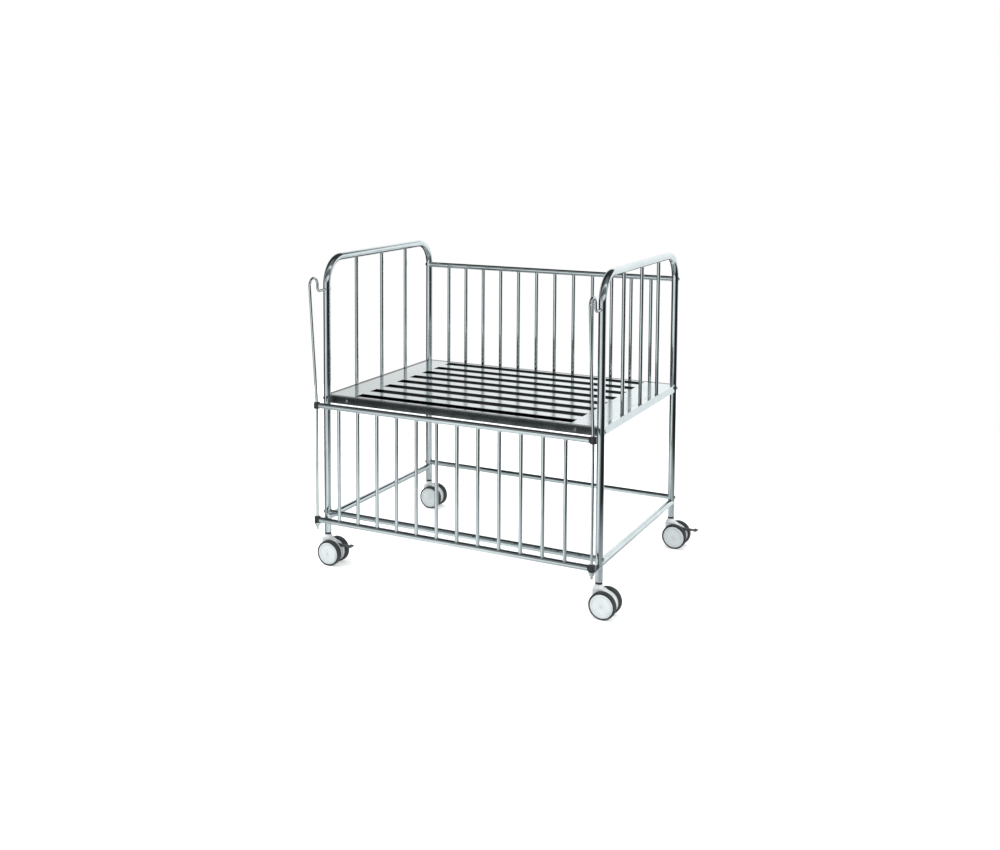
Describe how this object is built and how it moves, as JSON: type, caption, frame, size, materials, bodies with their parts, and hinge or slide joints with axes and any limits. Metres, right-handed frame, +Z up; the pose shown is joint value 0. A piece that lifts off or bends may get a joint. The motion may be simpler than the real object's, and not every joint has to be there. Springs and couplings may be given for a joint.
{
  "type": "pediatric hospital bed",
  "caption": "Children's hospital bed of polished steel tube with barred end frames, a fixed rear rail, a front rail that slides on bent guide rods, a slotted deck and twin-wheel castors.",
  "frame": {"origin": "on the floor, below the middle of the bed's bounding box", "axes": "+X along the bed towards its foot end, +Y to the fixed rear rail, +Z up"},
  "size_m": [1.288, 1.0209, 1.24],
  "materials": {
    "tube_steel": "polished",
    "deck_steel": "polished sheet",
    "plated_steel": "plated",
    "guide_plastic": "satin black",
    "castor_body": "satin light grey",
    "wheel_disc": "satin light grey",
    "tyre": "dark grey",
    "pedal": "satin dark grey"
  },
  "bodies": {
    "frame": {"castor_front_foot_stem": "plated_steel", "castor_front_head_stem": "plated_steel", "castor_rear_foot_stem": "plated_steel", "castor_rear_head_stem": "plated_steel", "deck_end_plates": "deck_steel", "deck_ledges": "deck_steel", "deck_slats": "deck_steel", "foot_deck_cross_beam": "tube_steel", "foot_end_bars": "tube_steel", "foot_end_hoop": "tube_steel", "foot_guide_rod": "tube_steel", "foot_low_tie": "tube_steel", "frame_bolts": "plated_steel", "front_deck_beam": "tube_steel", "front_low_tie": "tube_steel", "head_deck_cross_beam": "tube_steel", "head_end_bars": "tube_steel", "head_end_hoop": "tube_steel", "head_guide_rod": "tube_steel", "head_low_tie": "tube_steel", "leg_collars": "guide_plastic", "rear_deck_beam": "tube_steel", "rear_low_tie": "tube_steel", "rear_rail_bars": "tube_steel", "rear_rail_top": "tube_steel", "rod_lugs": "tube_steel", "rod_nuts": "plated_steel"},
    "rail_slider": {"rail_bottom_guides": "guide_plastic"},
    "drop_rail": {"front_rail_bottom": "tube_steel", "front_rail_top": "tube_steel", "front_rail_bars": "tube_steel", "rail_top_guides": "guide_plastic"},
    "castor_front_head": {"castor_front_head_axle": "plated_steel", "castor_front_head_body": "castor_body", "castor_front_head_pedal_pin": "plated_steel"},
    "castor_front_head_front_wheel": {"castor_front_head_front_wheel": "wheel_disc", "castor_front_head_front_tyre": "tyre"},
    "castor_front_head_rear_wheel": {"castor_front_head_rear_wheel": "wheel_disc", "castor_front_head_rear_tyre": "tyre"},
    "castor_front_head_pedal": {"castor_front_head_pedal": "pedal"},
    "castor_front_foot": {"castor_front_foot_axle": "plated_steel", "castor_front_foot_body": "castor_body"},
    "castor_front_foot_front_wheel": {"castor_front_foot_front_wheel": "wheel_disc", "castor_front_foot_front_tyre": "tyre"},
    "castor_front_foot_rear_wheel": {"castor_front_foot_rear_wheel": "wheel_disc", "castor_front_foot_rear_tyre": "tyre"},
    "castor_rear_head": {"castor_rear_head_axle": "plated_steel", "castor_rear_head_body": "castor_body"},
    "castor_rear_head_front_wheel": {"castor_rear_head_front_wheel": "wheel_disc", "castor_rear_head_front_tyre": "tyre"},
    "castor_rear_head_rear_wheel": {"castor_rear_head_rear_wheel": "wheel_disc", "castor_rear_head_rear_tyre": "tyre"},
    "castor_rear_foot": {"castor_rear_foot_axle": "plated_steel", "castor_rear_foot_body": "castor_body", "castor_rear_foot_pedal_pin": "plated_steel"},
    "castor_rear_foot_front_wheel": {"castor_rear_foot_front_wheel": "wheel_disc", "castor_rear_foot_front_tyre": "tyre"},
    "castor_rear_foot_rear_wheel": {"castor_rear_foot_rear_wheel": "wheel_disc", "castor_rear_foot_rear_tyre": "tyre"},
    "castor_rear_foot_pedal": {"castor_rear_foot_pedal": "pedal"}
  },
  "joints": [
    {"name": "drop_rail_lift", "type": "slide", "parent": "frame", "child": "rail_slider", "axis": [0, 0, 1], "range_m": [0, 0.44]},
    {"name": "drop_rail_tilt", "type": "hinge", "parent": "rail_slider", "child": "drop_rail", "pos_m": [-0.044, -0.46004, 0.196], "axis": [1, 0, 0], "range_deg": [0, 5.25]},
    {"name": "castor_front_head_swivel", "type": "hinge", "parent": "frame", "child": "castor_front_head", "pos_m": [-0.619, -0.38504, 0.1], "axis": [0, 0, 1], "continuous": true},
    {"name": "castor_front_head_front_wheel_spin", "type": "hinge", "parent": "castor_front_head", "child": "castor_front_head_front_wheel", "pos_m": [-0.594, -0.38504, 0.05], "axis": [0, 1, 0], "continuous": true},
    {"name": "castor_front_head_rear_wheel_spin", "type": "hinge", "parent": "castor_front_head", "child": "castor_front_head_rear_wheel", "pos_m": [-0.594, -0.38504, 0.05], "axis": [0, 1, 0], "continuous": true},
    {"name": "castor_front_head_pedal_press", "type": "hinge", "parent": "castor_front_head", "child": "castor_front_head_pedal", "pos_m": [-0.57, -0.38504, 0.077], "axis": [0, 1, 0], "range_deg": [0, 15]},
    {"name": "castor_front_foot_swivel", "type": "hinge", "parent": "frame", "child": "castor_front_foot", "pos_m": [0.531, -0.38504, 0.1], "axis": [0, 0, 1], "continuous": true},
    {"name": "castor_front_foot_front_wheel_spin", "type": "hinge", "parent": "castor_front_foot", "child": "castor_front_foot_front_wheel", "pos_m": [0.556, -0.38504, 0.05], "axis": [0, 1, 0], "continuous": true},
    {"name": "castor_front_foot_rear_wheel_spin", "type": "hinge", "parent": "castor_front_foot", "child": "castor_front_foot_rear_wheel", "pos_m": [0.556, -0.38504, 0.05], "axis": [0, 1, 0], "continuous": true},
    {"name": "castor_rear_head_swivel", "type": "hinge", "parent": "frame", "child": "castor_rear_head", "pos_m": [-0.619, 0.46496, 0.1], "axis": [0, 0, 1], "continuous": true},
    {"name": "castor_rear_head_front_wheel_spin", "type": "hinge", "parent": "castor_rear_head", "child": "castor_rear_head_front_wheel", "pos_m": [-0.594, 0.46496, 0.05], "axis": [0, 1, 0], "continuous": true},
    {"name": "castor_rear_head_rear_wheel_spin", "type": "hinge", "parent": "castor_rear_head", "child": "castor_rear_head_rear_wheel", "pos_m": [-0.594, 0.46496, 0.05], "axis": [0, 1, 0], "continuous": true},
    {"name": "castor_rear_foot_swivel", "type": "hinge", "parent": "frame", "child": "castor_rear_foot", "pos_m": [0.531, 0.46496, 0.1], "axis": [0, 0, 1], "continuous": true},
    {"name": "castor_rear_foot_front_wheel_spin", "type": "hinge", "parent": "castor_rear_foot", "child": "castor_rear_foot_front_wheel", "pos_m": [0.556, 0.46496, 0.05], "axis": [0, 1, 0], "continuous": true},
    {"name": "castor_rear_foot_rear_wheel_spin", "type": "hinge", "parent": "castor_rear_foot", "child": "castor_rear_foot_rear_wheel", "pos_m": [0.556, 0.46496, 0.05], "axis": [0, 1, 0], "continuous": true},
    {"name": "castor_rear_foot_pedal_press", "type": "hinge", "parent": "castor_rear_foot", "child": "castor_rear_foot_pedal", "pos_m": [0.58, 0.46496, 0.077], "axis": [0, 1, 0], "range_deg": [0, 15]}
  ],
  "couplings": [
    {"joint": "drop_rail_tilt", "follows": "drop_rail_lift", "rad_per_m": 0.2081}
  ]
}
